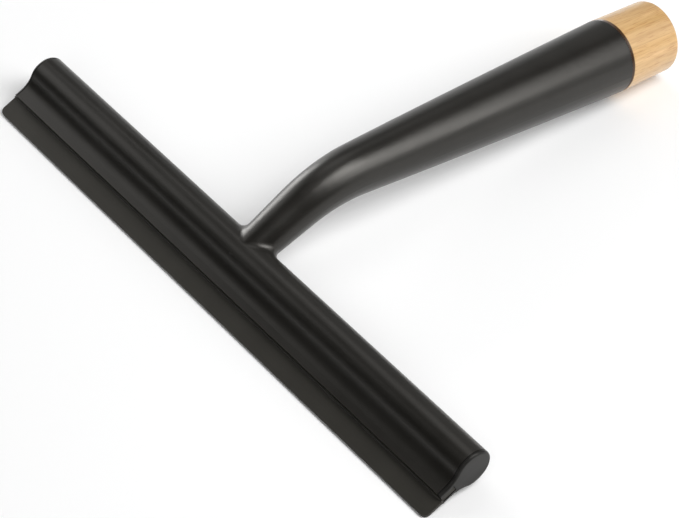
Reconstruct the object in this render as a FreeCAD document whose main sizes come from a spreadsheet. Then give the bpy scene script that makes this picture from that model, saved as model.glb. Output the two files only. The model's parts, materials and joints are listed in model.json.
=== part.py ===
import FreeCAD, Part
import math
import os
import Sketcher
from FreeCAD import Placement, Rotation, Vector

# Window squeegee: a hollow head with a silicone blade, a bent tapered handle and a bamboo end.
#
# Every sub-part is drawn in the "use frame": +X along the head, +Z up the neck from the centre of the
# head's round back, +Y towards the side the grip leans to. Pieces of the grip end are drawn about
# their own +Z axis. A Placement then lays the whole tool down on the wiping edge and the bamboo rim,
# so that the finished part has +Z up, stands on Z = 0 and has its origin under the middle of its box.

# alias, value in millimetres (or degrees)
DIMENSIONS = [
    # head moulding, section across X
    ("bulb_radius", 7.7),
    ("waist_radius", 10.0),
    ("lip_half", 3.1),
    ("lip_depth", 14.7),
    ("head_wall", 1.7),
    ("shell_length", 247.0),
    # end caps
    ("flange_thick", 1.5),
    ("flange_round", 1.0),
    ("parting_bevel", 0.25),
    ("plug_gap", 0.1),
    ("plug_wall", 1.1),
    ("plug_depth", 7.0),
    ("plug_floor", 4.3),
    ("pin_depth", 12.0),
    ("pin_gap", 0.05),
    ("pin_bevel", 0.6),
    ("cap_slot_top", 8.6),
    # stiffening tube
    ("tube_radius", 3.0),
    ("tube_bore", 2.5),
    ("tube_length", 236.0),
    ("tube_gap", 0.05),
    # neck and grip, along the centre line
    ("neck_radius", 7.1),
    ("bend_start_radius", 8.55),
    ("bend_end_radius", 9.94),
    ("mouth_radius", 15.25),
    ("neck_length", 27.0),
    ("bend_radius", 56.0),
    ("bend_angle", 28.3),
    ("grip_length", 130.2),
    ("handle_wall", 2.0),
    ("joint_height", 12.0),
    ("root_fillet", 3.5),
    ("boss_floor", 3.6),
    ("tenon_radius", 5.0),
    ("tenon_gap", 0.05),
    ("tenon_floor", 3.55),
    ("neck_floor", 16.0),
    ("mouth_bore", 12.3),
    ("mouth_depth", 20.0),
    ("rim_bevel", 0.3),
    # grip end
    ("cap_length", 26.7),
    ("cap_end_radius", 14.87),
    ("cap_edge", 1.4),
    ("cap_bevel", 0.7),
    ("gasket_thick", 0.5),
    ("gasket_radius", 14.3),
    ("core_radius", 12.25),
    ("core_depth", 16.0),
    ("spigot_radius", 8.0),
    ("spigot_height", 14.0),
    ("socket_gap", 0.05),
    ("core_pocket_radius", 6.0),
    ("core_floor", 4.0),
    ("seal_centre", 11.4),
    ("seal_section", 0.85),
    ("seal_depth", 6.0),
    ("screw_radius", 2.0),
    ("screw_gap", 0.1),
    ("screw_reach", 22.0),
    ("screw_head_radius", 4.0),
    ("screw_head_height", 2.6),
    ("screw_tip", 3.0),
    ("recess_width", 1.0),
    ("recess_span", 4.4),
    ("recess_depth", 1.5),
    ("washer_radius", 5.2),
    ("washer_thick", 0.8),
    # blade
    ("bead_radius", 2.3),
    ("bead_depth", 6.8),
    ("bead_length", 246.6),
    ("web_half", 1.2),
    ("web_top", 8.8),
    ("web_length", 249.6),
    ("shoulder", 0.6),
    ("blade_length", 251.2),
    ("blade_reach", 23.2),
    ("lip_root_half", 0.7),
    ("lip_tip_half", 0.55),
    ("hinge_gap", 0.05),
    ("corner_radius", 2.4),
]

doc = FreeCAD.newDocument("window_squeegee")
sheet = doc.addObject("Spreadsheet::Sheet", "Sheet")
for row, (alias, number) in enumerate(DIMENSIONS, start=1):
    sheet.set("A%d" % row, alias)
    sheet.set("B%d" % row, str(number))
    sheet.setAlias("B%d" % row, alias)
doc.recompute()

SIZE = dict(DIMENSIONS)
SUB_PARTS = []

# two places closer than NEAR are the same place; CLOSE does the same on curved faces
NEAR = 1e-4
CLOSE = 0.1
SAMPLES_PER_EDGE = 9


# ---------------------------------------------------------------- helpers

def keep(sub_part, label):
    """Name a finished sub-part and list it for placing and export."""
    sub_part.Label = label
    SUB_PARTS.append(sub_part)
    return sub_part


def new_body(label):
    return keep(doc.addObject("PartDesign::Body", label + "_body"), label)


def origin_item(body, role):
    return next(item for item in body.Origin.OriginFeatures if item.Role == role)


def new_sketch(body, name, plane, offset=None):
    """A sketch on one of the body's own origin planes, moved by `offset` in the plane's frame."""
    sketch = body.newObject("Sketcher::SketchObject", name)
    sketch.AttachmentSupport = [(origin_item(body, plane), "")]
    sketch.MapMode = "FlatFace"
    if offset is not None:
        sketch.AttachmentOffset = offset
    return sketch


def bind(sketch, constraint, formula):
    """Add one dimension to a sketch and tie it to the sheet."""
    index = sketch.addConstraint(constraint)
    sketch.setExpression("Constraints[%d]" % index, formula)


def circle_sketch(body, name, plane, radius_formula, radius, offset=None):
    sketch = new_sketch(body, name, plane, offset)
    circle = sketch.addGeometry(Part.Circle(Vector(0, 0, 0), Vector(0, 0, 1), radius))
    sketch.addConstraint(Sketcher.Constraint("Coincident", circle, 3, -1, 1))
    bind(sketch, Sketcher.Constraint("Radius", circle, radius), radius_formula)
    return sketch


def polygon(sketch, points, formulas):
    """A closed outline through `points`, each corner dimensioned from the sketch's origin.

    `formulas` has one (across, up) pair of sheet formulas for each point.
    """
    corners = [Vector(across, up, 0) for across, up in points]
    for start, end in zip(corners, corners[1:] + corners[:1]):
        sketch.addGeometry(Part.LineSegment(start, end))
    count = len(corners)
    for index in range(count):
        sketch.addConstraint(Sketcher.Constraint("Coincident", index, 2, (index + 1) % count, 1))
    for index, (corner, formula) in enumerate(zip(corners, formulas)):
        for kind, number, text in (("DistanceX", corner.x, formula[0]), ("DistanceY", corner.y, formula[1])):
            bind(sketch, Sketcher.Constraint(kind, -1, 1, index, 1, number), text)
    return sketch


def pad(body, sketch, name, length_formula, reverse=False):
    feature = body.newObject("PartDesign::Pad", name)
    feature.Profile = sketch
    feature.setExpression("Length", length_formula)
    feature.Reversed = reverse
    sketch.Visibility = False
    doc.recompute()
    return feature


def pocket(body, sketch, name, length_formula, reverse=False):
    """Cut a pocket and make sure that it took material away."""
    before = body.Shape.Volume
    feature = body.newObject("PartDesign::Pocket", name)
    feature.Profile = sketch
    feature.setExpression("Length", length_formula)
    feature.Reversed = reverse
    doc.recompute()
    if not body.Shape.Volume < before - NEAR:
        raise RuntimeError("%s in %s cuts nothing" % (name, body.Label))
    return feature


def revolve(body, sketch, name):
    """Turn a profile a full turn about the sketch's own upright axis."""
    feature = body.newObject("PartDesign::Revolution", name)
    feature.Profile = sketch
    feature.ReferenceAxis = (sketch, ["V_Axis"])
    feature.Angle = 360
    doc.recompute()
    return feature


def dress(body, kind, name, edges, size_property, formula):
    """Fillet or chamfer the chosen edges of the body's tip."""
    rough = body.Tip
    feature = body.newObject("PartDesign::" + kind, name)
    feature.Base = (rough, edges)
    feature.setExpression(size_property, formula)
    doc.recompute()
    return feature


def edges_where(shape, test):
    """Names of the edges whose every point passes the test."""
    return ["Edge%d" % number for number, edge in enumerate(shape.Edges, start=1)
            if not edge.Degenerated and all(test(point) for point in edge.discretize(SAMPLES_PER_EDGE))]


# ---------------------------------------------------------------- head section

def waist_height():
    """Height of the waist arcs' centres, which are the same for the outer and the inner face."""
    across = SIZE["lip_half"] + SIZE["waist_radius"]
    return -math.sqrt((SIZE["bulb_radius"] + SIZE["waist_radius"]) ** 2 - across ** 2)


def section_chain(sketch, inset, inset_formula, foot, foot_formula):
    """One face of the head's section: lip, waist, bulb, waist, lip, `inset` inside the outer face.

    Returns the index of the first of its five edges. The lips end at the height -foot.
    """
    half = SIZE["lip_half"] - inset
    bulb = SIZE["bulb_radius"] - inset
    waist = SIZE["waist_radius"] + inset
    centre = Vector(half + waist, waist_height(), 0)
    turn = math.atan2(centre.y, centre.x)
    mirror_centre = Vector(-centre.x, centre.y, 0)
    axis = Vector(0, 0, 1)
    first = sketch.addGeometry(Part.LineSegment(Vector(half, -foot, 0), Vector(half, centre.y, 0)))
    sketch.addGeometry(Part.ArcOfCircle(Part.Circle(centre, axis, waist), turn + math.pi, math.pi))
    sketch.addGeometry(Part.ArcOfCircle(Part.Circle(Vector(0, 0, 0), axis, bulb), turn, math.pi - turn))
    sketch.addGeometry(Part.ArcOfCircle(Part.Circle(mirror_centre, axis, waist), 0, -turn))
    sketch.addGeometry(Part.LineSegment(Vector(-half, centre.y, 0), Vector(-half, -foot, 0)))
    right_lip, right_waist, round_back, left_waist, left_lip = range(first, first + 5)
    for constraint in (
        ("Tangent", right_lip, 2, right_waist, 2),
        ("Tangent", right_waist, 1, round_back, 1),
        ("Tangent", round_back, 2, left_waist, 2),
        ("Tangent", left_waist, 1, left_lip, 1),
        ("Coincident", round_back, 3, -1, 1),
        ("Vertical", right_lip),
        ("Vertical", left_lip),
    ):
        sketch.addConstraint(Sketcher.Constraint(*constraint))
    waist_formula = "Sheet.waist_radius + " + inset_formula
    bulb_formula = "Sheet.bulb_radius - " + inset_formula
    half_formula = "Sheet.lip_half - " + inset_formula
    bind(sketch, Sketcher.Constraint("Radius", round_back, bulb), bulb_formula)
    bind(sketch, Sketcher.Constraint("Radius", right_waist, waist), waist_formula)
    bind(sketch, Sketcher.Constraint("Radius", left_waist, waist), waist_formula)
    bind(sketch, Sketcher.Constraint("DistanceX", -1, 1, right_lip, 1, half), half_formula)
    bind(sketch, Sketcher.Constraint("DistanceX", left_lip, 2, -1, 1, half), half_formula)
    bind(sketch, Sketcher.Constraint("DistanceY", right_lip, 1, -1, 1, foot), foot_formula)
    bind(sketch, Sketcher.Constraint("DistanceY", left_lip, 2, -1, 1, foot), foot_formula)
    return first


def join(sketch, first, first_end, second, second_end):
    """Close a gap between two edge ends with a straight edge."""
    start = sketch.getPoint(first, first_end)
    end = sketch.getPoint(second, second_end)
    line = sketch.addGeometry(Part.LineSegment(start, end))
    sketch.addConstraint(Sketcher.Constraint("Coincident", first, first_end, line, 1))
    sketch.addConstraint(Sketcher.Constraint("Coincident", line, 2, second, second_end))
    return line


def across_offset(distance):
    """Move a sketch on the YZ plane along the head."""
    return Placement(Vector(0, 0, distance), Rotation())


def build_head_shell():
    body = new_body("head_shell")
    sketch = new_sketch(body, "shell_section", "YZ_Plane", across_offset(-SIZE["shell_length"] / 2))
    sketch.setExpression("AttachmentOffset.Base.z", "-Sheet.shell_length / 2")
    outer = section_chain(sketch, 0.0, "0", SIZE["lip_depth"], "Sheet.lip_depth")
    inner = section_chain(sketch, SIZE["head_wall"], "Sheet.head_wall", SIZE["lip_depth"], "Sheet.lip_depth")
    join(sketch, outer, 1, inner, 1)
    join(sketch, inner + 4, 2, outer + 4, 2)
    pad(body, sketch, "shell", "Sheet.shell_length")

    # the neck boss swells at the neck's own taper and reaches down inside the round back
    swell = (SIZE["bend_start_radius"] - SIZE["neck_radius"]) / SIZE["neck_length"]
    floor_radius = SIZE["neck_radius"] - swell * SIZE["boss_floor"]
    top_radius = SIZE["neck_radius"] + swell * SIZE["joint_height"]
    swell_formula = "(Sheet.bend_start_radius - Sheet.neck_radius) / Sheet.neck_length"
    profile = new_sketch(body, "boss_profile", "XZ_Plane")
    polygon(
        profile,
        [(0, -SIZE["boss_floor"]), (floor_radius, -SIZE["boss_floor"]), (top_radius, SIZE["joint_height"]),
         (0, SIZE["joint_height"])],
        [("0", "-Sheet.boss_floor"),
         ("Sheet.neck_radius - Sheet.boss_floor * " + swell_formula, "-Sheet.boss_floor"),
         ("Sheet.neck_radius + Sheet.joint_height * " + swell_formula, "Sheet.joint_height"),
         ("0", "Sheet.joint_height")],
    )
    boss = revolve(body, profile, "neck_boss")

    def on_root(point):
        on_back = point.z > 0 and abs(math.hypot(point.y, point.z) - SIZE["bulb_radius"]) < CLOSE
        return on_back and floor_radius - CLOSE < math.hypot(point.x, point.y) < top_radius + CLOSE

    dress(body, "Fillet", "root_blend", edges_where(boss.Shape, on_root), "Radius", "Sheet.root_fillet")

    bore = circle_sketch(body, "tenon_bore_circle", "XY_Plane", "Sheet.tenon_radius + Sheet.tenon_gap",
                         SIZE["tenon_radius"] + SIZE["tenon_gap"],
                         Placement(Vector(0, 0, SIZE["joint_height"]), Rotation()))
    bore.setExpression("AttachmentOffset.Base.z", "Sheet.joint_height")
    pocket(body, bore, "tenon_bore", "Sheet.joint_height + Sheet.boss_floor")
    eye = circle_sketch(body, "tube_way_circle", "YZ_Plane", "Sheet.tube_radius + Sheet.tube_gap",
                        SIZE["tube_radius"] + SIZE["tube_gap"], across_offset(SIZE["mouth_radius"]))
    pocket(body, eye, "tube_way", "2 * Sheet.mouth_radius")
    return body


# ---------------------------------------------------------------- end caps

def build_end_cap(label):
    """Flange, hollow plug and centre pin, drawn with the outer face towards +X."""
    body = new_body(label)
    face = SIZE["shell_length"] / 2
    flange = new_sketch(body, "flange_outline", "YZ_Plane", across_offset(face))
    flange.setExpression("AttachmentOffset.Base.z", "Sheet.shell_length / 2")
    outline = section_chain(flange, 0.0, "0", SIZE["lip_depth"], "Sheet.lip_depth")
    slot_half = SIZE["lip_half"] - SIZE["head_wall"]
    corners = [Vector(slot_half, -SIZE["lip_depth"], 0), Vector(slot_half, -SIZE["cap_slot_top"], 0),
               Vector(-slot_half, -SIZE["cap_slot_top"], 0), Vector(-slot_half, -SIZE["lip_depth"], 0)]
    slot = [flange.addGeometry(Part.LineSegment(start, end)) for start, end in zip(corners, corners[1:])]
    for index in slot[:-1]:
        flange.addConstraint(Sketcher.Constraint("Coincident", index, 2, index + 1, 1))
    half_formula = "Sheet.lip_half - Sheet.head_wall"
    for index, end, sign in ((slot[0], 1, 1), (slot[0], 2, 1), (slot[2], 1, -1), (slot[2], 2, -1)):
        ends = (-1, 1, index, end) if sign > 0 else (index, end, -1, 1)
        bind(flange, Sketcher.Constraint("DistanceX", *ends, slot_half), half_formula)
    for index, end, depth in ((slot[0], 1, "lip_depth"), (slot[0], 2, "cap_slot_top"),
                              (slot[2], 1, "cap_slot_top"), (slot[2], 2, "lip_depth")):
        bind(flange, Sketcher.Constraint("DistanceY", index, end, -1, 1, SIZE[depth]), "Sheet." + depth)
    join(flange, outline, 1, slot[0], 1)
    join(flange, slot[2], 2, outline + 4, 2)
    plate = pad(body, flange, "flange", "Sheet.flange_thick")

    def outline_at(along):
        """Test for the outline at one height of the plate, leaving out the slot and the lips' ends."""
        def on_outline(point):
            beside_slot = abs(point.y) > slot_half + NEAR
            above_slot = point.z > NEAR - SIZE["cap_slot_top"]
            return abs(point.x - along) < NEAR and (beside_slot or above_slot)
        return on_outline

    dress(body, "Fillet", "face_edge", edges_where(plate.Shape, outline_at(face + SIZE["flange_thick"])),
          "Radius", "Sheet.flange_round")
    dress(body, "Chamfer", "parting_edge", edges_where(body.Shape, outline_at(face)),
          "Size", "Sheet.parting_bevel")

    # the hollow plug fills the round back; its underside is flattened to pass over the blade's bead
    plug_radius = SIZE["bulb_radius"] - SIZE["head_wall"] - SIZE["plug_gap"]
    plug_formula = "Sheet.bulb_radius - Sheet.head_wall - Sheet.plug_gap"
    cut_angle = math.asin(SIZE["plug_floor"] / plug_radius)
    ring = new_sketch(body, "plug_ring", "YZ_Plane", across_offset(face))
    ring.setExpression("AttachmentOffset.Base.z", "Sheet.shell_length / 2")
    circle = Part.Circle(Vector(0, 0, 0), Vector(0, 0, 1), plug_radius)
    arc = ring.addGeometry(Part.ArcOfCircle(circle, -cut_angle, math.pi + cut_angle))
    ring.addConstraint(Sketcher.Constraint("Coincident", arc, 3, -1, 1))
    bind(ring, Sketcher.Constraint("Radius", arc, plug_radius), plug_formula)
    chord = join(ring, arc, 2, arc, 1)
    ring.addConstraint(Sketcher.Constraint("Horizontal", chord))
    bind(ring, Sketcher.Constraint("DistanceY", arc, 1, -1, 1, SIZE["plug_floor"]), "Sheet.plug_floor")
    pad(body, ring, "plug", "Sheet.plug_depth", reverse=True)
    hollow = new_sketch(body, "plug_hollow", "YZ_Plane", across_offset(face - SIZE["plug_depth"]))
    hollow.setExpression("AttachmentOffset.Base.z", "Sheet.shell_length / 2 - Sheet.plug_depth")
    inner_radius = plug_radius - SIZE["plug_wall"]
    floor = SIZE["plug_floor"] - SIZE["plug_wall"]
    inner_angle = math.asin(floor / inner_radius)
    circle = Part.Circle(Vector(0, 0, 0), Vector(0, 0, 1), inner_radius)
    arc = hollow.addGeometry(Part.ArcOfCircle(circle, -inner_angle, math.pi + inner_angle))
    hollow.addConstraint(Sketcher.Constraint("Coincident", arc, 3, -1, 1))
    bind(hollow, Sketcher.Constraint("Radius", arc, inner_radius), plug_formula + " - Sheet.plug_wall")
    chord = join(hollow, arc, 2, arc, 1)
    hollow.addConstraint(Sketcher.Constraint("Horizontal", chord))
    bind(hollow, Sketcher.Constraint("DistanceY", arc, 1, -1, 1, floor), "Sheet.plug_floor - Sheet.plug_wall")
    pocket(body, hollow, "plug_hollow_cut", "Sheet.plug_depth", reverse=True)

    pin = circle_sketch(body, "pin_circle", "YZ_Plane", "Sheet.tube_bore - Sheet.pin_gap",
                        SIZE["tube_bore"] - SIZE["pin_gap"], across_offset(face))
    pin.setExpression("AttachmentOffset.Base.z", "Sheet.shell_length / 2")
    pad(body, pin, "pin", "Sheet.pin_depth", reverse=True)
    tip = face - SIZE["pin_depth"]
    dress(body, "Chamfer", "pin_lead", edges_where(body.Shape, lambda point: abs(point.x - tip) < NEAR),
          "Size", "Sheet.pin_bevel")
    return body


# ---------------------------------------------------------------- handle

def grip_frame(along):
    """Placement of a plane square to the centre line, `along` millimetres past the end of the bend."""
    angle = math.radians(SIZE["bend_angle"])
    across = SIZE["bend_radius"] * (1 - math.cos(angle)) + along * math.sin(angle)
    height = SIZE["neck_length"] + SIZE["bend_radius"] * math.sin(angle) + along * math.cos(angle)
    return Placement(Vector(0, across, height), Rotation(Vector(1, 0, 0), -SIZE["bend_angle"]))


def centre_line(body, name, start, end):
    """Neck, bend and grip as one smooth path.

    `start` is a height on the neck and `end` a distance past the bend, both as (number, formula).
    """
    sketch = new_sketch(body, name, "YZ_Plane")
    angle = math.radians(SIZE["bend_angle"])
    neck_top = Vector(0, SIZE["neck_length"], 0)
    bend_centre = Vector(SIZE["bend_radius"], SIZE["neck_length"], 0)
    bend = grip_frame(0).Base
    tail = grip_frame(end[0]).Base
    circle = Part.Circle(bend_centre, Vector(0, 0, 1), SIZE["bend_radius"])
    neck = sketch.addGeometry(Part.LineSegment(Vector(0, start[0], 0), neck_top))
    arc = sketch.addGeometry(Part.ArcOfCircle(circle, math.pi - angle, math.pi))
    grip = sketch.addGeometry(Part.LineSegment(Vector(bend.y, bend.z, 0), Vector(tail.y, tail.z, 0)))
    for constraint in (
        ("PointOnObject", neck, 1, -2),
        ("Vertical", neck),
        ("Tangent", neck, 2, arc, 2),
        ("Tangent", arc, 1, grip, 1),
    ):
        sketch.addConstraint(Sketcher.Constraint(*constraint))
    bind(sketch, Sketcher.Constraint("DistanceY", -1, 1, neck, 2, SIZE["neck_length"]), "Sheet.neck_length")
    bind(sketch, Sketcher.Constraint("Radius", arc, SIZE["bend_radius"]), "Sheet.bend_radius")
    bind(sketch, Sketcher.Constraint("DistanceY", -1, 1, neck, 1, start[0]), start[1])
    bind(sketch, Sketcher.Constraint("Angle", grip, 1, -2, 1, angle), "Sheet.bend_angle * 1 deg")
    bind(sketch, Sketcher.Constraint("Distance", grip, 1, grip, 2, end[0]), end[1])
    return sketch


def tapered_pipe(body, kind, name, start, end, inset):
    """Round pipe along the centre line, `inset` inside the neck's and the grip's own taper.

    `start`, `end` and `inset` are (number, formula) pairs.
    """
    swell = (SIZE["bend_start_radius"] - SIZE["neck_radius"]) / SIZE["neck_length"]
    flare = (SIZE["mouth_radius"] - SIZE["bend_end_radius"]) / SIZE["grip_length"]
    swell_formula = "(Sheet.bend_start_radius - Sheet.neck_radius) / Sheet.neck_length"
    flare_formula = "(Sheet.mouth_radius - Sheet.bend_end_radius) / Sheet.grip_length"
    stations = [
        (Placement(Vector(0, 0, start[0]), Rotation()), SIZE["neck_radius"] + swell * start[0],
         "Sheet.neck_radius + (%s) * %s" % (start[1], swell_formula)),
        (Placement(Vector(0, 0, SIZE["neck_length"]), Rotation()), SIZE["bend_start_radius"],
         "Sheet.bend_start_radius"),
        (grip_frame(0), SIZE["bend_end_radius"], "Sheet.bend_end_radius"),
        (grip_frame(end[0]), SIZE["bend_end_radius"] + flare * end[0],
         "Sheet.bend_end_radius + (%s) * %s" % (end[1], flare_formula)),
    ]
    rings = [
        circle_sketch(body, "%s_ring_%d" % (name, number), "XY_Plane", "%s - %s" % (formula, inset[1]),
                      radius - inset[0], place)
        for number, (place, radius, formula) in enumerate(stations)
    ]
    path = centre_line(body, name + "_path", start, end)
    doc.recompute()
    pipe = body.newObject("PartDesign::" + kind, name)
    pipe.Profile = rings[0]
    pipe.Spine = (path, ["Edge1", "Edge2", "Edge3"])
    pipe.Transformation = "Multisection"
    pipe.Sections = [(ring, [""]) for ring in rings[1:]]
    doc.recompute()
    return pipe


def build_handle_shell():
    body = new_body("handle_shell")
    tapered_pipe(
        body, "AdditivePipe", "outer",
        (SIZE["joint_height"], "Sheet.joint_height"),
        (SIZE["grip_length"], "Sheet.grip_length"),
        (0, "0"),
    )
    full = body.Shape.Volume
    tapered_pipe(
        body, "SubtractivePipe", "cavity",
        (SIZE["neck_floor"], "Sheet.neck_floor"),
        (SIZE["grip_length"] - SIZE["mouth_depth"], "Sheet.grip_length - Sheet.mouth_depth"),
        (SIZE["handle_wall"], "Sheet.handle_wall"),
    )
    if not body.Shape.Volume < full / 2:
        raise RuntimeError("the handle is not hollow")
    rim_place = grip_frame(SIZE["grip_length"])
    mouth = circle_sketch(body, "mouth_circle", "XY_Plane", "Sheet.mouth_bore", SIZE["mouth_bore"], rim_place)
    pocket(body, mouth, "mouth_bore", "Sheet.mouth_depth")

    def on_rim(point):
        local = rim_place.inverse().multVec(point)
        return abs(local.z) < CLOSE and math.hypot(local.x, local.y) > SIZE["mouth_radius"] - CLOSE

    dress(body, "Chamfer", "rim_bevel", edges_where(body.Shape, on_rim), "Size", "Sheet.rim_bevel")

    # the tenon drops into the neck boss and has an eye for the stiffening tube
    peg = circle_sketch(body, "tenon_circle", "XY_Plane", "Sheet.tenon_radius", SIZE["tenon_radius"],
                        Placement(Vector(0, 0, SIZE["joint_height"]), Rotation()))
    peg.setExpression("AttachmentOffset.Base.z", "Sheet.joint_height")
    pad(body, peg, "tenon", "Sheet.joint_height + Sheet.tenon_floor", reverse=True)
    eye = circle_sketch(body, "eye_circle", "YZ_Plane", "Sheet.tube_radius + Sheet.tube_gap",
                        SIZE["tube_radius"] + SIZE["tube_gap"], across_offset(SIZE["tenon_radius"]))
    eye.setExpression("AttachmentOffset.Base.z", "Sheet.tenon_radius")
    pocket(body, eye, "tube_eye", "2 * Sheet.tenon_radius")
    return body


# ---------------------------------------------------------------- turned pieces of the grip end

def ring(label, outer_formula, inner_formula, height_formula):
    """A flat ring or tube as the difference of two cylinders."""
    outer = doc.addObject("Part::Cylinder", label + "_outside")
    inner = doc.addObject("Part::Cylinder", label + "_hole")
    for cylinder, formula in ((outer, outer_formula), (inner, inner_formula)):
        cylinder.setExpression("Radius", formula)
        cylinder.setExpression("Height", height_formula)
    cut = doc.addObject("Part::Cut", label + "_cut")
    cut.Base = outer
    cut.Tool = inner
    doc.recompute()
    return keep(cut, label)


def build_spine_tube():
    tube = ring("spine_tube", "Sheet.tube_radius", "Sheet.tube_bore", "Sheet.tube_length")
    tube.Placement = Placement(Vector(-SIZE["tube_length"] / 2, 0, 0), Rotation(Vector(0, 1, 0), 90))
    return tube


def build_grip_plug():
    """Core plug of the grip: a grooved drum with a spigot, bored for the bamboo end's screw."""
    body = new_body("grip_plug")
    profile = new_sketch(body, "plug_profile", "XZ_Plane")
    bore = SIZE["screw_radius"] + SIZE["screw_gap"]
    groove_radius = SIZE["seal_centre"] - SIZE["seal_section"]
    groove_top = SIZE["seal_section"] - SIZE["seal_depth"]
    groove_foot = -SIZE["seal_section"] - SIZE["seal_depth"]
    bore_formula = "Sheet.screw_radius + Sheet.screw_gap"
    groove_formula = "Sheet.seal_centre - Sheet.seal_section"
    top_formula = "Sheet.seal_section - Sheet.seal_depth"
    foot_formula = "-Sheet.seal_section - Sheet.seal_depth"
    corners = [
        (bore, -SIZE["core_floor"], bore_formula, "-Sheet.core_floor"),
        (SIZE["core_pocket_radius"], -SIZE["core_floor"], "Sheet.core_pocket_radius", "-Sheet.core_floor"),
        (SIZE["core_pocket_radius"], -SIZE["core_depth"], "Sheet.core_pocket_radius", "-Sheet.core_depth"),
        (SIZE["core_radius"], -SIZE["core_depth"], "Sheet.core_radius", "-Sheet.core_depth"),
        (SIZE["core_radius"], groove_foot, "Sheet.core_radius", foot_formula),
        (groove_radius, groove_foot, groove_formula, foot_formula),
        (groove_radius, groove_top, groove_formula, top_formula),
        (SIZE["core_radius"], groove_top, "Sheet.core_radius", top_formula),
        (SIZE["core_radius"], 0, "Sheet.core_radius", "0"),
        (SIZE["spigot_radius"], 0, "Sheet.spigot_radius", "0"),
        (SIZE["spigot_radius"], SIZE["spigot_height"], "Sheet.spigot_radius", "Sheet.spigot_height"),
        (bore, SIZE["spigot_height"], bore_formula, "Sheet.spigot_height"),
    ]
    polygon(profile, [corner[:2] for corner in corners], [corner[2:] for corner in corners])
    revolve(body, profile, "plug_turning")
    return body


def build_plug_seal():
    seal = doc.addObject("Part::Torus", "plug_seal_ring")
    seal.setExpression("Radius1", "Sheet.seal_centre")
    seal.setExpression("Radius2", "Sheet.seal_section")
    seal.Placement = Placement(Vector(0, 0, -SIZE["seal_depth"]), Rotation())
    doc.recompute()
    return keep(seal, "plug_seal")


def build_bamboo_cap():
    """Turned bamboo end: a slightly tapering drum with a socket for the spigot and the screw."""
    body = new_body("bamboo_cap")
    socket = SIZE["spigot_radius"] + SIZE["socket_gap"]
    deep = SIZE["spigot_height"] + SIZE["screw_gap"]
    pilot = SIZE["screw_radius"] + SIZE["screw_gap"]
    reach = SIZE["screw_reach"] + SIZE["screw_gap"]
    socket_formula = "Sheet.spigot_radius + Sheet.socket_gap"
    deep_formula = "Sheet.spigot_height + Sheet.screw_gap"
    pilot_formula = "Sheet.screw_radius + Sheet.screw_gap"
    reach_formula = "Sheet.screw_reach + Sheet.screw_gap"
    corners = [
        (socket, SIZE["gasket_thick"], socket_formula, "Sheet.gasket_thick"),
        (SIZE["mouth_radius"], SIZE["gasket_thick"], "Sheet.mouth_radius", "Sheet.gasket_thick"),
        (SIZE["cap_end_radius"], SIZE["cap_length"], "Sheet.cap_end_radius", "Sheet.cap_length"),
        (0, SIZE["cap_length"], "0", "Sheet.cap_length"),
        (0, reach, "0", reach_formula),
        (pilot, reach, pilot_formula, reach_formula),
        (pilot, deep, pilot_formula, deep_formula),
        (socket, deep, socket_formula, deep_formula),
    ]
    profile = new_sketch(body, "cap_profile", "XZ_Plane")
    polygon(profile, [corner[:2] for corner in corners], [corner[2:] for corner in corners])
    turning = revolve(body, profile, "cap_turning")

    def outside_at(height):
        return lambda point: abs(point.z - height) < NEAR and math.hypot(point.x, point.y) > socket + CLOSE

    dress(body, "Fillet", "end_round", edges_where(turning.Shape, outside_at(SIZE["cap_length"])),
          "Radius", "Sheet.cap_edge")
    dress(body, "Chamfer", "seam_bevel", edges_where(body.Shape, outside_at(SIZE["gasket_thick"])),
          "Size", "Sheet.cap_bevel")
    return body


def build_cap_screw():
    """Pan-head screw with a cross recess; its head bears on the washer inside the plug."""
    body = new_body("cap_screw")
    seat = -SIZE["core_floor"] - SIZE["washer_thick"]
    crown = seat - SIZE["screw_head_height"]
    seat_formula = "-Sheet.core_floor - Sheet.washer_thick"
    crown_formula = seat_formula + " - Sheet.screw_head_height"
    corners = [
        (0, crown, "0", crown_formula),
        (SIZE["screw_head_radius"], crown, "Sheet.screw_head_radius", crown_formula),
        (SIZE["screw_head_radius"], seat, "Sheet.screw_head_radius", seat_formula),
        (SIZE["screw_radius"], seat, "Sheet.screw_radius", seat_formula),
        (SIZE["screw_radius"], SIZE["screw_reach"] - SIZE["screw_tip"], "Sheet.screw_radius",
         "Sheet.screw_reach - Sheet.screw_tip"),
        (0, SIZE["screw_reach"], "0", "Sheet.screw_reach"),
    ]
    profile = new_sketch(body, "screw_profile", "XZ_Plane")
    polygon(profile, [corner[:2] for corner in corners], [corner[2:] for corner in corners])
    turning = revolve(body, profile, "screw_turning")

    crown_edges = edges_where(turning.Shape, lambda point: abs(point.z - crown) < NEAR)
    dress(body, "Fillet", "crown_round", crown_edges, "Radius", "Sheet.screw_head_height / 2")
    for name, span, width in (("long_slot", "recess_span", "recess_width"),
                              ("cross_slot", "recess_width", "recess_span")):
        recess = new_sketch(body, name, "XY_Plane", Placement(Vector(0, 0, crown), Rotation()))
        recess.setExpression("AttachmentOffset.Base.z", crown_formula)
        wide = SIZE[span] / 2
        tall = SIZE[width] / 2
        polygon(
            recess,
            [(-wide, -tall), (wide, -tall), (wide, tall), (-wide, tall)],
            [("-Sheet.%s / 2" % span, "-Sheet.%s / 2" % width),
             ("Sheet.%s / 2" % span, "-Sheet.%s / 2" % width),
             ("Sheet.%s / 2" % span, "Sheet.%s / 2" % width),
             ("-Sheet.%s / 2" % span, "Sheet.%s / 2" % width)],
        )
        pocket(body, recess, name + "_cut", "Sheet.recess_depth", reverse=True)
    return body


# ---------------------------------------------------------------- silicone blade

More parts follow.
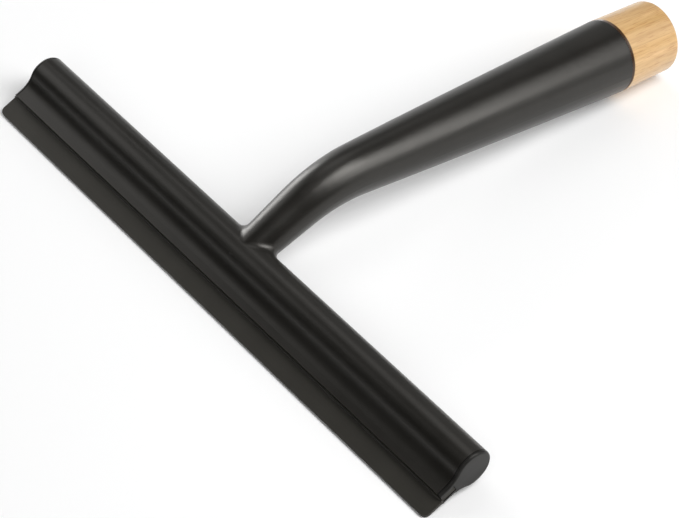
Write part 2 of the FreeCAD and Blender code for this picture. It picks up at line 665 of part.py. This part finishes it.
def build_blade_bead():
    """Upper half of the silicone strip: the bead in the head's funnel and the web in the lips' slot."""
    body = new_body("blade_bead")
    web = SIZE["web_half"]
    foot = SIZE["lip_depth"] + SIZE["shoulder"]
    foot_formula = "Sheet.lip_depth + Sheet.shoulder"
    angle = math.acos(web / SIZE["bead_radius"])
    neck_height = -SIZE["bead_depth"] - SIZE["bead_radius"] * math.sin(angle)
    section = new_sketch(body, "bead_section", "YZ_Plane", across_offset(-SIZE["bead_length"] / 2))
    section.setExpression("AttachmentOffset.Base.z", "-Sheet.bead_length / 2")
    bead_centre = Vector(0, -SIZE["bead_depth"], 0)
    circle = Part.Circle(bead_centre, Vector(0, 0, 1), SIZE["bead_radius"])
    arc = section.addGeometry(Part.ArcOfCircle(circle, -angle, math.pi + angle))
    left = section.addGeometry(Part.LineSegment(Vector(-web, neck_height, 0), Vector(-web, -foot, 0)))
    base = section.addGeometry(Part.LineSegment(Vector(-web, -foot, 0), Vector(web, -foot, 0)))
    right = section.addGeometry(Part.LineSegment(Vector(web, -foot, 0), Vector(web, neck_height, 0)))
    for constraint in (
        ("Coincident", arc, 2, left, 1),
        ("Coincident", left, 2, base, 1),
        ("Coincident", base, 2, right, 1),
        ("Coincident", right, 2, arc, 1),
        ("PointOnObject", arc, 3, -2),
        ("Vertical", left),
        ("Horizontal", base),
        ("Vertical", right),
    ):
        section.addConstraint(Sketcher.Constraint(*constraint))
    bind(section, Sketcher.Constraint("Radius", arc, SIZE["bead_radius"]), "Sheet.bead_radius")
    bind(section, Sketcher.Constraint("DistanceY", arc, 3, -1, 1, SIZE["bead_depth"]), "Sheet.bead_depth")
    bind(section, Sketcher.Constraint("DistanceY", base, 1, -1, 1, foot), foot_formula)
    bind(section, Sketcher.Constraint("DistanceX", base, 1, -1, 1, web), "Sheet.web_half")
    bind(section, Sketcher.Constraint("DistanceX", -1, 1, base, 2, web), "Sheet.web_half")
    pad(body, section, "bead", "Sheet.bead_length")

    # below the bead the web runs on into the end caps' slots and stops just inside their faces; its
    # shoulder, under the lips of head and caps, is as long as the wiping lip
    for name, top, length in (("web", "web_top", "web_length"), ("shoulder", "lip_depth", "blade_length")):
        strip = new_sketch(body, name + "_section", "YZ_Plane", across_offset(-SIZE[length] / 2))
        strip.setExpression("AttachmentOffset.Base.z", "-Sheet.%s / 2" % length)
        polygon(
            strip,
            [(-web, -foot), (web, -foot), (web, -SIZE[top]), (-web, -SIZE[top])],
            [("-Sheet.web_half", "-Sheet.lip_depth - Sheet.shoulder"),
             ("Sheet.web_half", "-Sheet.lip_depth - Sheet.shoulder"),
             ("Sheet.web_half", "-Sheet." + top), ("-Sheet.web_half", "-Sheet." + top)],
        )
        pad(body, strip, name, "Sheet." + length)
    return body


def hinge_height():
    """Height of the line about which the wiping lip bends, at the centre of the lip's rounded root."""
    return -(SIZE["lip_depth"] + SIZE["shoulder"] + SIZE["hinge_gap"] + SIZE["lip_root_half"])


def build_blade_lip():
    """Lower half of the silicone strip: the tapering wiping lip with rounded lower corners."""
    body = new_body("blade_lip")
    root = SIZE["lip_root_half"]
    tip = SIZE["lip_tip_half"]
    bend = hinge_height()
    section = new_sketch(body, "lip_section", "YZ_Plane", across_offset(-SIZE["blade_length"] / 2))
    section.setExpression("AttachmentOffset.Base.z", "-Sheet.blade_length / 2")
    circle = Part.Circle(Vector(0, bend, 0), Vector(0, 0, 1), root)
    arc = section.addGeometry(Part.ArcOfCircle(circle, 0, math.pi))
    near_edge = Vector(-tip, -SIZE["blade_reach"], 0)
    far_edge = Vector(tip, -SIZE["blade_reach"], 0)
    left = section.addGeometry(Part.LineSegment(Vector(-root, bend, 0), near_edge))
    edge = section.addGeometry(Part.LineSegment(near_edge, far_edge))
    right = section.addGeometry(Part.LineSegment(far_edge, Vector(root, bend, 0)))
    for constraint in (
        ("Coincident", arc, 2, left, 1),
        ("Coincident", left, 2, edge, 1),
        ("Coincident", edge, 2, right, 1),
        ("Coincident", right, 2, arc, 1),
        ("PointOnObject", arc, 3, -2),
        ("Horizontal", arc, 1, arc, 2),
        ("Horizontal", arc, 1, arc, 3),
        ("Horizontal", edge),
    ):
        section.addConstraint(Sketcher.Constraint(*constraint))
    bend_formula = "Sheet.lip_depth + Sheet.shoulder + Sheet.hinge_gap + Sheet.lip_root_half"
    bind(section, Sketcher.Constraint("Radius", arc, root), "Sheet.lip_root_half")
    bind(section, Sketcher.Constraint("DistanceY", arc, 3, -1, 1, -bend), bend_formula)
    bind(section, Sketcher.Constraint("DistanceX", edge, 1, -1, 1, tip), "Sheet.lip_tip_half")
    bind(section, Sketcher.Constraint("DistanceX", -1, 1, edge, 2, tip), "Sheet.lip_tip_half")
    bind(section, Sketcher.Constraint("DistanceY", edge, 1, -1, 1, SIZE["blade_reach"]), "Sheet.blade_reach")
    strip = pad(body, section, "lip", "Sheet.blade_length")

    def on_corner(point):
        return (abs(abs(point.x) - SIZE["blade_length"] / 2) < NEAR
                and abs(point.z + SIZE["blade_reach"]) < NEAR)

    dress(body, "Fillet", "lip_corners", edges_where(strip.Shape, on_corner), "Radius", "Sheet.corner_radius")
    return body


# ---------------------------------------------------------------- assembly

def lay_angle():
    """Turn about X, in degrees, that lays the tool on the wiping edge and the bamboo rim."""
    edge_y = SIZE["lip_tip_half"]
    edge_z = -SIZE["blade_reach"]
    round_centre = grip_frame(SIZE["grip_length"] + SIZE["cap_length"] - SIZE["cap_edge"]).multVec(
        Vector(0, SIZE["cap_end_radius"] - SIZE["cap_edge"], 0))
    reach = math.hypot(round_centre.y - edge_y, round_centre.z - edge_z)
    slope = math.atan2(round_centre.z - edge_z, round_centre.y - edge_y)
    return -math.degrees(slope - math.asin(SIZE["cap_edge"] / reach))


head_shell = build_head_shell()
handle_shell = build_handle_shell()
spine_tube = build_spine_tube()
end_cap_right = build_end_cap("end_cap_right")
end_cap_left = build_end_cap("end_cap_left")
end_cap_left.Placement = Placement(Vector(0, 0, 0), Rotation(Vector(0, 0, 1), 180))
blade_bead = build_blade_bead()
blade_lip = build_blade_lip()

grip_end = grip_frame(SIZE["grip_length"])
grip_plug = build_grip_plug()
plug_seal = build_plug_seal()
seam_gasket = ring("seam_gasket", "Sheet.gasket_radius", "Sheet.spigot_radius + Sheet.socket_gap",
                   "Sheet.gasket_thick")
bamboo_cap = build_bamboo_cap()
cap_screw = build_cap_screw()
screw_washer = ring("screw_washer", "Sheet.washer_radius", "Sheet.screw_radius + Sheet.screw_gap",
                    "Sheet.washer_thick")
screw_washer.Placement = Placement(Vector(0, 0, -SIZE["core_floor"] - SIZE["washer_thick"]), Rotation())
for piece in (grip_plug, plug_seal, seam_gasket, bamboo_cap, cap_screw, screw_washer):
    piece.Placement = grip_end * piece.Placement

laid = Placement(Vector(0, 0, 0), Rotation(Vector(1, 0, 0), lay_angle()))
for piece in SUB_PARTS:
    piece.Placement = laid * piece.Placement
doc.recompute()

box = FreeCAD.BoundBox()
for piece in SUB_PARTS:
    box.add(piece.Shape.optimalBoundingBox(False))
shift = Placement(Vector(-box.Center.x, -box.Center.y, -box.ZMin), Rotation())
for piece in SUB_PARTS:
    piece.Placement = shift * piece.Placement
doc.recompute()

for item in doc.Objects:
    if "Invalid" in item.State or "Error" in item.State:
        raise RuntimeError("%s did not compute: %s" % (item.Label, item.State))
for piece in SUB_PARTS:
    if piece.Shape.isNull() or not piece.Shape.isValid() or not piece.Shape.Solids:
        raise RuntimeError("%s has no valid solid" % piece.Label)

os.makedirs("parts", exist_ok=True)
for piece in SUB_PARTS:
    piece.Shape.exportStep("parts/%s.step" % piece.Label)
print("lay angle %.3f, box %.2f x %.2f x %.2f mm, shift %s" % (
    lay_angle(), box.XLength, box.YLength, box.ZLength, shift.Base))
for piece in SUB_PARTS:
    print("%-14s %9.1f mm3 %d solid" % (piece.Label, piece.Shape.Volume, len(piece.Shape.Solids)))
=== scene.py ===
import json
import math

import bpy
from mathutils import Euler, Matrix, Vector


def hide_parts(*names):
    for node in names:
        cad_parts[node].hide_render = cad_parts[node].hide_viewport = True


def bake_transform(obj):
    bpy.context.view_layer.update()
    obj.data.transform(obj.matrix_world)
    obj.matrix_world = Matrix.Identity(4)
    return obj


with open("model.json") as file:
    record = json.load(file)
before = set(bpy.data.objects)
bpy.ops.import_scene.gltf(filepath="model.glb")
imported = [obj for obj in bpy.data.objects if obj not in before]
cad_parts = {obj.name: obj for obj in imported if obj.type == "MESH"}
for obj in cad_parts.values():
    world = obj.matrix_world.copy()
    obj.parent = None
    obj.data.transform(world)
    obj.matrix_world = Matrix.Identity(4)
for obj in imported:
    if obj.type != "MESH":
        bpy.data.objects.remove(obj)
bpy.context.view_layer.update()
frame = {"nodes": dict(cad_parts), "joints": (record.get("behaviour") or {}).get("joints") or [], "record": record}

MM = 0.001

# ---------------------------------------------------------------- axes of the laid tool

NODES = frame["nodes"]
MOUNTS = {mount["name"]: mount for mount in frame["record"]["mounts"]}
HINGE = next(joint for joint in frame["joints"] if joint["name"] == "blade_flex")
ALONG = Vector((1, 0, 0))
UP_NECK = Vector(MOUNTS["neck_cradle"]["axis"]).normalized()
AWAY = UP_NECK.cross(ALONG)
GRIP_AXIS = Vector(MOUNTS["bamboo_end_face"]["axis"]).normalized()
GRIP_END = Vector(MOUNTS["bamboo_end_face"]["pos_m"])
HINGE_DEPTH = 16.05     # mm from the head's centre down to the line about which the lip bends
HEAD_CENTRE = Vector(HINGE["pos_m"]) + UP_NECK * HINGE_DEPTH * MM


def on_head(along, away, up):
    """A point given in millimetres from the centre of the head's round back."""
    return HEAD_CENTRE + (ALONG * along + AWAY * away + UP_NECK * up) * MM


# ---------------------------------------------------------------- node helpers

def new_material(name):
    material = bpy.data.materials.new(name)
    material.use_nodes = True
    return material


def shader(material):
    return material.node_tree.nodes["Principled BSDF"]


def add(material, kind, **settings):
    node = material.node_tree.nodes.new(kind)
    for key, value in settings.items():
        setattr(node, key, value)
    return node


def wire(material, source, target):
    material.node_tree.links.new(source, target)


def dress(obj, material):
    """Put one material in every slot of an object."""
    if not obj.data.materials:
        obj.data.materials.append(material)
    for index in range(len(obj.data.materials)):
        obj.data.materials[index] = material


def ramp(material, source, stops):
    node = add(material, "ShaderNodeValToRGB")
    elements = node.color_ramp.elements
    for index, (place, colour) in enumerate(stops):
        element = elements[index] if index < 2 else elements.new(place)
        element.position = place
        element.color = (*colour, 1.0)
    wire(material, source, node.inputs["Fac"])
    return node.outputs["Color"]


def noise(material, vector, scale, detail=4.0, roughness=0.5):
    node = add(material, "ShaderNodeTexNoise")
    node.inputs["Scale"].default_value = scale
    node.inputs["Detail"].default_value = detail
    node.inputs["Roughness"].default_value = roughness
    wire(material, vector, node.inputs["Vector"])
    return node.outputs["Fac"]


def cells(material, vector, scale, feature="F1"):
    node = add(material, "ShaderNodeTexVoronoi", feature=feature)
    node.inputs["Scale"].default_value = scale
    wire(material, vector, node.inputs["Vector"])
    return node


def remap(material, source, low, high, from_low=0.0, from_high=1.0):
    node = add(material, "ShaderNodeMapRange")
    for socket, value in (("From Min", from_low), ("From Max", from_high), ("To Min", low), ("To Max", high)):
        node.inputs[socket].default_value = value
    wire(material, source, node.inputs["Value"])
    return node.outputs["Result"]


def combine(material, operation, first, second):
    """Math on one varying value and a second one, varying or constant."""
    node = add(material, "ShaderNodeMath", operation=operation)
    wire(material, first, node.inputs[0])
    if isinstance(second, (int, float)):
        node.inputs[1].default_value = second
    else:
        wire(material, second, node.inputs[1])
    return node.outputs["Value"]


def mix(material, factor, first, second, blend="MIX"):
    """Mix two colours; each may be a constant or a socket."""
    node = add(material, "ShaderNodeMix", data_type="RGBA", blend_type=blend)
    for value, socket in ((factor, node.inputs[0]), (first, node.inputs[6]), (second, node.inputs[7])):
        if isinstance(value, bpy.types.NodeSocket):
            wire(material, value, socket)
        elif isinstance(value, tuple):
            socket.default_value = (*value, 1.0)
        else:
            socket.default_value = value
    return node.outputs[2]


def bump(material, height, distance, strength=1.0, normal=None):
    node = add(material, "ShaderNodeBump")
    node.inputs["Strength"].default_value = strength
    node.inputs["Distance"].default_value = distance
    wire(material, height, node.inputs["Height"])
    if normal is not None:
        wire(material, normal, node.inputs["Normal"])
    return node.outputs["Normal"]


def object_coordinates(material):
    return add(material, "ShaderNodeTexCoord").outputs["Object"]


def turned(material, axis, stretch=1.0, origin=(0, 0, 0)):
    """Object coordinates with Z along `axis` and lengths along it divided by `stretch`."""
    shift = add(material, "ShaderNodeMapping", vector_type="POINT")
    shift.inputs["Location"].default_value = [-value for value in origin]
    wire(material, object_coordinates(material), shift.inputs["Vector"])
    turn = add(material, "ShaderNodeMapping", vector_type="POINT")
    turn.inputs["Rotation"].default_value = Vector(axis).rotation_difference(Vector((0, 0, 1))).to_euler()
    wire(material, shift.outputs["Vector"], turn.inputs["Vector"])
    squeeze = add(material, "ShaderNodeMapping", vector_type="POINT")
    squeeze.inputs["Scale"].default_value = (1.0, 1.0, 1.0 / stretch)
    wire(material, turn.outputs["Vector"], squeeze.inputs["Vector"])
    return squeeze.outputs["Vector"]


# ---------------------------------------------------------------- materials

GRAIN = 3200.0          # spark-eroded pits per metre
GRAIN_RELIEF = 0.012    # their depth in mm


def moulded(name, dark, light, gloss, axis, specular=0.5):
    """Satin moulding: mottled pigment, spark-eroded grain, handling smears and a few hairline scuffs."""
    material = new_material(name)
    where = object_coordinates(material)
    mottle = noise(material, where, 60.0, 4.0)
    tone = ramp(material, mottle, [(0.35, dark), (0.65, light)])
    specks = cells(material, where, 420.0)
    dust = remap(material, specks.outputs["Distance"], 1.0, 0.0, 0.035, 0.06)
    rare = remap(material, noise(material, where, 90.0, 1.0), 0.0, 0.35, 0.6, 0.68)
    lint = combine(material, "MULTIPLY", dust, rare)
    base = mix(material, lint, tone, (0.16, 0.15, 0.14))
    wire(material, base, shader(material).inputs["Base Color"])

    fine = noise(material, where, GRAIN, 2.0, 0.6)
    smear = noise(material, turned(material, axis, 6.0), 120.0, 3.0)
    scuffs = cells(material, turned(material, axis, 60.0), 900.0, "DISTANCE_TO_EDGE").outputs["Distance"]
    scuff = remap(material, scuffs, 0.05, 0.0, 0.0, 0.02)
    low, high = gloss
    sheen = remap(material, smear, low, high, 0.25, 0.75)
    grainy = combine(material, "ADD", sheen, remap(material, fine, -0.03, 0.03))
    wire(material, combine(material, "ADD", grainy, scuff), shader(material).inputs["Roughness"])
    waves = bump(material, noise(material, where, 45.0, 2.0), 0.03 * MM, 0.4)
    wire(material, bump(material, fine, GRAIN_RELIEF * MM, 0.6, waves), shader(material).inputs["Normal"])
    shader(material).inputs["Specular IOR Level"].default_value = specular
    shader(material).inputs["Specular Tint"].default_value = (1.0, 0.97, 0.92, 1.0)
    return material


def silicone_rubber(name):
    """Matte black silicone with a faint calendered stripe along the strip and pale dust in its pores."""
    material = new_material(name)
    where = object_coordinates(material)
    mottle = noise(material, where, 80.0, 4.0)
    tone = ramp(material, mottle, [(0.3, (0.0135, 0.0125, 0.0105)), (0.7, (0.0185, 0.0172, 0.0145))])
    pores = noise(material, where, 1800.0, 2.0)
    bloom = remap(material, pores, 0.0, 0.25, 0.6, 0.8)
    wire(material, mix(material, bloom, tone, (0.05, 0.048, 0.042)), shader(material).inputs["Base Color"])
    stripe = noise(material, turned(material, ALONG, 80.0), 1500.0, 2.0)
    wire(material, remap(material, stripe, 0.5, 0.64), shader(material).inputs["Roughness"])
    lines = bump(material, stripe, 0.01 * MM, 0.5)
    wire(material, bump(material, pores, 0.015 * MM, 0.5, lines), shader(material).inputs["Normal"])
    shader(material).inputs["Specular IOR Level"].default_value = 0.42
    shader(material).inputs["Specular Tint"].default_value = (1.0, 0.95, 0.84, 1.0)
    return material


def plain(name, colour, roughness, metallic=0.0, axis=(0, 0, 1), stretch=1.0, grain=900.0, relief=0.01):
    """A hidden piece: slightly uneven colour, gloss and surface.

    `stretch` draws the grain out along `axis`.
    """
    material = new_material(name)
    fine = noise(material, turned(material, axis, stretch), grain, 3.0)
    darker = tuple(0.8 * channel for channel in colour)
    tone = ramp(material, fine, [(0.3, darker), (0.7, colour)])
    wire(material, tone, shader(material).inputs["Base Color"])
    shader(material).inputs["Metallic"].default_value = metallic
    gloss = remap(material, fine, roughness - 0.08, roughness + 0.08)
    wire(material, gloss, shader(material).inputs["Roughness"])
    wire(material, bump(material, fine, relief * MM, 0.5), shader(material).inputs["Normal"])
    return material


STRIP_WIDTH = 5.5       # mm, one glued bamboo strip


def bamboo_wood():
    """Turned bamboo: long fibre bundles, glued strips, dotted end grain and an oiled, half-matt finish."""
    material = new_material("bamboo")
    across = turned(material, GRIP_AXIS, 1.0, GRIP_END)
    long_grain = turned(material, GRIP_AXIS, 34.0, GRIP_END)
    broad = noise(material, long_grain, 520.0, 4.0, 0.6)
    fibres = noise(material, turned(material, GRIP_AXIS, 16.0, GRIP_END), 2100.0, 3.0, 0.65)
    tone = ramp(material, broad, [
        (0.30, (0.54, 0.320, 0.122)),
        (0.50, (0.65, 0.405, 0.172)),
        (0.72, (0.74, 0.485, 0.228)),
    ])
    streak = remap(material, fibres, 0.0, 0.8, 0.52, 0.68)
    fibred = mix(material, streak, tone, (0.47, 0.235, 0.075))

    # glued strips, each a little different in tone, parted by hair-thin darker lines
    place = add(material, "ShaderNodeSeparateXYZ")
    wire(material, across, place.inputs["Vector"])
    strip = combine(material, "DIVIDE", place.outputs["X"], STRIP_WIDTH * MM)
    step = combine(material, "FLOOR", strip, 0.0)
    strip_tone = add(material, "ShaderNodeTexWhiteNoise", noise_dimensions="1D")
    wire(material, step, strip_tone.inputs["W"])
    shade = ramp(material, strip_tone.outputs["Value"], [
        (0.0, (0.9, 0.89, 0.87)),
        (1.0, (1.0, 1.0, 1.0)),
    ])
    stripped = mix(material, 1.0, fibred, shade, "MULTIPLY")
    within = combine(material, "FRACT", strip, 0.0)
    off_middle = combine(material, "SUBTRACT", within, 0.5)
    edge = combine(material, "ABSOLUTE", off_middle, 0.0)
    joint = remap(material, edge, 0.0, 0.35, 0.482, 0.496)
    sides = mix(material, joint, stripped, (0.36, 0.19, 0.075))

    # fibre bundles cut across show as dark dots on the end face
    dots = cells(material, across, 1150.0)
    dotted = ramp(material, dots.outputs["Distance"], [
        (0.16, (0.30, 0.165, 0.07)),
        (0.34, (0.62, 0.400, 0.20)),
        (0.80, (0.74, 0.520, 0.29)),
    ])
    end_face = remap(material, place.outputs["Z"], 0.0, 1.0, -0.25 * MM, -0.05 * MM)
    body = mix(material, end_face, sides, dotted)

    # the bevel at the seam is bare and darker, and its foot is painted dark brown: painted shade standing in for
    # the shaded seam gap and the brown gasket in it
    seam = remap(material, place.outputs["Z"], 1.0, 0.0, -26.0 * MM, -25.4 * MM)
    bare = mix(material, combine(material, "MULTIPLY", seam, 0.55), body, (0.50, 0.235, 0.05))
    # painted shade: a dark brown band at the foot of the bevel, for the shade in the seam gap
    seam_gap_shade = remap(material, place.outputs["Z"], 1.0, 0.0, -25.66 * MM, -25.50 * MM)
    with_seam_gap_shade = mix(material, seam_gap_shade, bare, (0.085, 0.036, 0.012))
    wire(material, with_seam_gap_shade, shader(material).inputs["Base Color"])

    sheen = remap(material, broad, 0.34, 0.44, 0.3, 0.7)
    wire(material, combine(material, "ADD", sheen, remap(material, fibres, -0.05, 0.07)),
         shader(material).inputs["Roughness"])
    grooves = bump(material, fibres, 0.03 * MM, 0.45)
    wire(material, bump(material, joint, 0.03 * MM, 0.3, grooves), shader(material).inputs["Normal"])
    shader(material).inputs["Coat Weight"].default_value = 0.7
    shader(material).inputs["Coat Roughness"].default_value = 0.26
    shader(material).inputs["Subsurface Weight"].default_value = 0.06
    shader(material).inputs["Subsurface Radius"].default_value = (0.0012, 0.0006, 0.0003)
    shader(material).inputs["Subsurface Scale"].default_value = 1.0
    return material


SATIN_DARK = (0.0088, 0.0080, 0.0066)
SATIN_LIGHT = (0.0118, 0.0108, 0.0092)
SATIN_GLOSS = (0.28, 0.37)
HEAD_BLACK = moulded("head_black", SATIN_DARK, SATIN_LIGHT, SATIN_GLOSS, ALONG)
HANDLE_BLACK = moulded("handle_black", SATIN_DARK, SATIN_LIGHT, SATIN_GLOSS, GRIP_AXIS)
CAP_BLACK = moulded(
    "cap_black", (0.0090, 0.0087, 0.0080), (0.0125, 0.0121, 0.0112), (0.34, 0.44), UP_NECK, 0.22)
SILICONE = silicone_rubber("silicone")
BAMBOO = bamboo_wood()
TUBE_METAL = plain("tube_metal", (0.74, 0.74, 0.76), 0.32, 1.0, ALONG, 60.0)
PLUG_NYLON = plain("plug_nylon", (0.62, 0.61, 0.56), 0.5)
SEAL_RUBBER = plain("seal_rubber", (0.020, 0.020, 0.020), 0.6)
GASKET_BROWN = plain("gasket_brown", (0.055, 0.024, 0.010), 0.75, grain=2400.0, relief=0.03)
SCREW_STEEL = plain("screw_steel", (0.58, 0.57, 0.55), 0.3, 1.0, GRIP_AXIS, 0.1)


# ---------------------------------------------------------------- the blade as one soft strip

BEAD = {"radius": 2.3, "depth": 6.8, "half_length": 123.3}
WEB = {"half": 1.2, "half_length": 124.8, "shoulder": 14.7, "foot": 15.3}
SHOULDER_ROUND = 0.3    # rounding of the shoulder's lower edges
BEAD_ROWS = 24
ROUND_ROWS = 6
LIP_ROWS = 34
EDGE_BEVEL = 0.06       # at the wiping edge
LIP = {"root": 0.7, "tip": 0.55, "reach": 23.2, "half_length": 125.6, "corner": 2.4}


def blade_levels():
    """(height, half thickness, half length) from the top of the bead down to the wiping edge, in mm."""
    levels = []
    waist = math.acos(WEB["half"] / BEAD["radius"])
    for step in range(1, BEAD_ROWS + 1):
        turn = math.pi / 2 - (math.pi / 2 + waist) * step / BEAD_ROWS
        height = BEAD["radius"] * math.sin(turn) - BEAD["depth"]
        levels.append((height, BEAD["radius"] * math.cos(turn), BEAD["half_length"]))
    neck = levels[-1][0] - 0.05
    for height in (neck, -10.0, -11.5, -13.0, -14.2, 0.02 - WEB["shoulder"]):
        levels.append((height, WEB["half"], WEB["half_length"]))
    for height in (-WEB["shoulder"], SHOULDER_ROUND - WEB["foot"]):
        levels.append((height, WEB["half"], LIP["half_length"]))
    for step in range(1, ROUND_ROWS + 1):
        turn = math.pi / 2 * step / ROUND_ROWS
        half = WEB["half"] - SHOULDER_ROUND * (1 - math.cos(turn))
        height = SHOULDER_ROUND - WEB["foot"] - SHOULDER_ROUND * math.sin(turn)
        levels.append((height, half, LIP["half_length"]))
    fillet = WEB["half"] - SHOULDER_ROUND - LIP["root"]
    for step in range(ROUND_ROWS + 1):
        turn = math.pi / 2 * step / ROUND_ROWS
        half = LIP["root"] + fillet * (1 - math.sin(turn))
        levels.append((-WEB["foot"] - 0.02 - fillet * (1 - math.cos(turn)), half, LIP["half_length"]))
    top = levels[-1][0]
    for step in range(1, LIP_ROWS + 1):
        height = top + (-LIP["reach"] + EDGE_BEVEL - top) * step / LIP_ROWS
        share = (height - top) / (-LIP["reach"] - top)
        levels.append((height, LIP["root"] + (LIP["tip"] - LIP["root"]) * share, rounded_half(height)))
    levels.append((-LIP["reach"], LIP["tip"] - EDGE_BEVEL, rounded_half(-LIP["reach"])))
    return levels


def rounded_half(height):
    """Half length of the lip at a height, drawn in by the rounded lower corners."""
    into = LIP["corner"] - LIP["reach"] - height
    if into <= 0:
        return LIP["half_length"]
    drop = min(into, LIP["corner"])
    return LIP["half_length"] - LIP["corner"] + math.sqrt(LIP["corner"] ** 2 - drop ** 2)


def build_blade():
    """One closed mesh through both halves of the silicone strip, built straight; the real lip bends at its root.
    """
    levels = blade_levels()
    ends = [0.97, 0.99, 0.997, 1.0]
    stations = [-share for share in reversed(ends)]
    stations += [share / 20 for share in range(-19, 20)] + ends
    columns = len(stations)
    points = []
    for side in (-1, 1):
        for height, half, length in levels:
            points += [on_head(share * length, side * half, height) for share in stations]
    rows = len(levels)

    def corner(side, row, column):
        return (side * rows + row) * columns + column

    faces = []
    for row in range(rows - 1):
        for column in range(columns - 1):
            near = [corner(0, row, column), corner(0, row + 1, column),
                    corner(0, row + 1, column + 1), corner(0, row, column + 1)]
            far = [corner(1, row, column), corner(1, row, column + 1),
                   corner(1, row + 1, column + 1), corner(1, row + 1, column)]
            faces += [near, far]
        left = [corner(0, row, 0), corner(1, row, 0), corner(1, row + 1, 0), corner(0, row + 1, 0)]
        last = columns - 1
        right = [corner(0, row, last), corner(0, row + 1, last),
                 corner(1, row + 1, last), corner(1, row, last)]
        faces += [left, right]
    for column in range(columns - 1):
        for row, order in ((0, 1), (rows - 1, -1)):
            lid = [corner(0, row, column), corner(0, row, column + 1),
                   corner(1, row, column + 1), corner(1, row, column)]
            faces.append(lid[::order])
    mesh = bpy.data.meshes.new("blade")
    mesh.from_pydata(points, [], faces)
    mesh.validate()
    mesh.shade_smooth()
    mesh.set_sharp_from_angle(angle=math.radians(38))
    blade = bpy.data.objects.new("silicone_blade", mesh)
    bpy.context.scene.collection.objects.link(blade)
    dress(blade, SILICONE)
    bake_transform(blade)
    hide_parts("blade_bead", "blade_lip")


for node, material in (
    ("head_shell", HEAD_BLACK),
    ("handle_shell", HANDLE_BLACK),
    ("end_cap_right", CAP_BLACK),
    ("end_cap_left", CAP_BLACK),
    ("bamboo_cap", BAMBOO),
    ("spine_tube", TUBE_METAL),
    ("grip_plug", PLUG_NYLON),
    ("plug_seal", SEAL_RUBBER),
    ("seam_gasket", GASKET_BROWN),
    ("cap_screw", SCREW_STEEL),
    ("screw_washer", SCREW_STEEL),
):
    dress(NODES[node], material)
build_blade()


# ---------------------------------------------------------------- stage, light and camera

AIM = Vector((0.0, -0.01, 0.018))
FLOOR_HALF = 6.0
PANEL_SIZE = 0.62
PANEL_DISTANCE = 1.3


def build_floor():
    mesh = bpy.data.meshes.new("floor")
    half = FLOOR_HALF
    corners = [(-half, -half, 0), (half, -half, 0), (half, half, 0), (-half, half, 0)]
    mesh.from_pydata(corners, [], [(0, 1, 2, 3)])
    floor = bpy.data.objects.new("floor", mesh)
    bpy.context.scene.collection.objects.link(floor)
    material = new_material("floor")
    shader(material).inputs["Base Color"].default_value = (0.95, 0.95, 0.95, 1.0)
    shader(material).inputs["Roughness"].default_value = 0.9
    dress(floor, material)


def softbox(azimuth, elevation, radiance):
    """A square light aimed at the tool; azimuth 0 stands in front (-Y) and 90 on the +X side."""
    name = "panel_%d_%d" % (azimuth, elevation)
    turn = math.radians(azimuth)
    lift = math.radians(elevation)
    away = Vector((math.sin(turn) * math.cos(lift), -math.cos(turn) * math.cos(lift), math.sin(lift)))
    data = bpy.data.lights.new(name, "AREA")
    data.shape = "RECTANGLE"
    data.size = PANEL_SIZE
    data.size_y = PANEL_SIZE
    data.energy = radiance * math.pi * PANEL_SIZE * PANEL_SIZE
    light = bpy.data.objects.new(name, data)
    light.location = AIM + away * PANEL_DISTANCE
    light.rotation_euler = away.to_track_quat("Z", "Y").to_euler()
    light.visible_camera = False
    bpy.context.scene.collection.objects.link(light)


def build_world(strength):
    """A white backdrop that the camera sees and that gives no light of its own."""
    world = bpy.data.worlds.new("studio")
    world.use_nodes = True
    background = world.node_tree.nodes["Background"]
    background.inputs["Color"].default_value = (1.0, 1.0, 1.0, 1.0)
    background.inputs["Strength"].default_value = strength
    for ray in ("diffuse", "glossy", "transmission", "scatter"):
        setattr(world.cycles_visibility, ray, False)
    bpy.context.scene.world = world


def build_camera():
    data = bpy.data.cameras.new("camera")
    data.sensor_width = 36.0
    data.lens = 124.46
    data.clip_end = 20.0
    camera = bpy.data.objects.new("camera", data)
    camera.location = (0.46365, -0.48114, 0.60474)
    camera.rotation_euler = Euler([math.radians(angle) for angle in (45.441, -3.666, 50.449)])
    bpy.context.scene.collection.objects.link(camera)
    bpy.context.scene.camera = camera


build_floor()
build_world(1.0)
build_camera()
for azimuth, elevation, radiance in (
    (-90, 12, 7.90),
    (120, 62, 7.66),
    (120, 37, 5.52),
    (30, 37, 2.10),
    (-60, 37, 1.16),
    (150, 37, 1.16),
    (-120, 62, 1.16),
    (120, 12, 0.91),
    (-120, 12, 0.80),
    (-150, 37, 0.37),
    (0, 85, 0.46),
    (-150, 12, 0.31),
    (-90, 37, 0.27),
):
    softbox(azimuth, elevation, radiance)
bpy.context.scene.view_settings.view_transform = "Standard"
